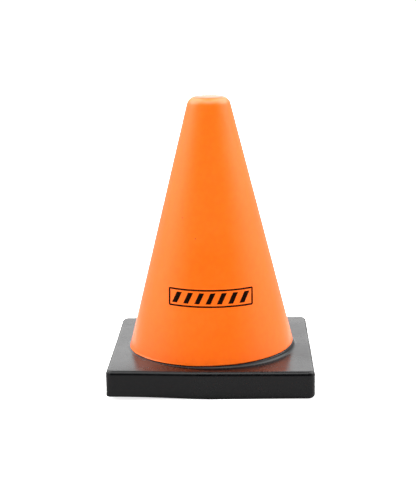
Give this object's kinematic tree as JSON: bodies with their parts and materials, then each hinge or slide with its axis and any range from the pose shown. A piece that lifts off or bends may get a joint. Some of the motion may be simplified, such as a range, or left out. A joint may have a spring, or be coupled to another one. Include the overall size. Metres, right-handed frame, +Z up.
{
  "type": "foam traffic cone",
  "caption": "Hand-sized solid foam traffic cone on a square slab base, orange over black, with a framed row of hazard bars printed on the front.",
  "frame": {"origin": "middle of the slab's flat underside", "axes": "+Z up through the cone's tip, -Y towards the printed front, +X to the right seen from the front"},
  "size_m": [0.073, 0.073, 0.102],
  "materials": {
    "foam": "matte",
    "glue": "satin",
    "black_coat": "satin",
    "orange_coat": "satin",
    "black_ink": "satin"
  },
  "bodies": {
    "root": {"base_core": "foam", "cone_core": "foam", "glue_layer": "glue", "base_coat": "black_coat", "cone_coat": "orange_coat", "printed_panel": "black_ink"}
  },
  "joints": []
}
